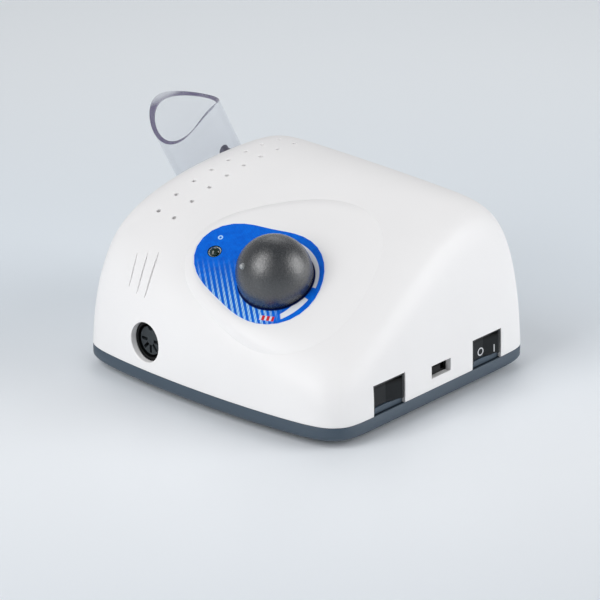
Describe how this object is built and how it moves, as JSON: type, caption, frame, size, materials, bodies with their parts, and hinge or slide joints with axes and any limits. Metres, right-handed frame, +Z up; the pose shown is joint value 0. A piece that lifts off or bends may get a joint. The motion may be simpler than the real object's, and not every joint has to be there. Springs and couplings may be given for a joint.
{
  "type": "nail drill machine",
  "caption": "Nail drill control box: domed white case on a grey tray, sloped pad with a speed knob, side rocker switches, round motor socket and a clear tube that holds the handpiece.",
  "frame": {"origin": "on the table under the middle of the case, between the four rubber feet", "axes": "+X to the right seen from the front, +Y to the rear, +Z up; the front with the motor socket faces -Y"},
  "size_m": [0.1624, 0.1245, 0.0888],
  "materials": {
    "white_case": "satin white moulding",
    "grey_tray": "satin blue-grey moulding",
    "rubber": "matt rubber",
    "screw_steel": "plated steel",
    "dark_screw": "black oxide",
    "blue_print": "printed film",
    "green_lens": "tinted lens",
    "dark_knob": "fine matt texture",
    "black_plastic": "satin black",
    "socket_grey": "satin dark grey",
    "brass": "tinned brass",
    "clear_tube": "clear acrylic",
    "core_steel": "varnished laminations",
    "coil": "taped copper winding",
    "board": "green laminate",
    "capacitor": "sleeved can",
    "sink": "black anodised",
    "fuse_glass": "clear glass"
  },
  "bodies": {
    "case": {"upper_shell": "white_case", "base_tray": "grey_tray", "rubber_feet": "rubber", "case_screws": "screw_steel", "panel_overlay": "blue_print", "pilot_lamp": "green_lens", "potentiometer_body": "screw_steel", "potentiometer_nut": "screw_steel", "potentiometer_terminals": "brass", "power_switch_body": "black_plastic", "direction_switch_body": "black_plastic", "switch_terminals": "brass", "mode_switch_body": "black_plastic", "motor_socket_body": "black_plastic", "motor_socket_insert": "socket_grey", "motor_socket_contacts": "brass", "holder_tube": "clear_tube", "holder_screws": "dark_screw", "holder_spacers": "clear_tube", "mains_inlet": "black_plastic", "mains_pins": "screw_steel", "pedal_socket": "black_plastic", "pedal_nut": "screw_steel", "transformer_core": "core_steel", "transformer_coil": "coil", "transformer_bracket": "screw_steel", "transformer_screws": "screw_steel", "circuit_board": "board", "board_screws": "screw_steel", "filter_capacitor": "capacitor", "heat_sink": "sink", "power_transistor": "black_plastic", "bridge_rectifier": "black_plastic", "fuse": "fuse_glass", "fuse_clips": "brass"},
    "knob": {"speed_knob": "dark_knob", "potentiometer_shaft": "screw_steel"},
    "power_rocker": {"power_rocker": "black_plastic"},
    "direction_rocker": {"direction_rocker": "black_plastic"},
    "mode_slider": {"mode_slider": "black_plastic"}
  },
  "joints": [
    {"name": "speed_turn", "type": "hinge", "parent": "case", "child": "knob", "pos_m": [0.01804, -0.03786, 0.04975], "axis": [-0.204, 0.505, -0.8387], "range_deg": [0, 300]},
    {"name": "power_tilt", "type": "hinge", "parent": "case", "child": "power_rocker", "pos_m": [0.06209, 0.0286, 0.0153], "axis": [-0.0333, 0, 0.9994], "range_deg": [0, 18]},
    {"name": "direction_tilt", "type": "hinge", "parent": "case", "child": "direction_rocker", "pos_m": [0.06209, -0.03, 0.0153], "axis": [-0.0333, 0, 0.9994], "range_deg": [0, 18]},
    {"name": "mode_slide", "type": "slide", "parent": "case", "child": "mode_slider", "axis": [0, 1, 0], "range_m": [0, 0.004]}
  ]
}
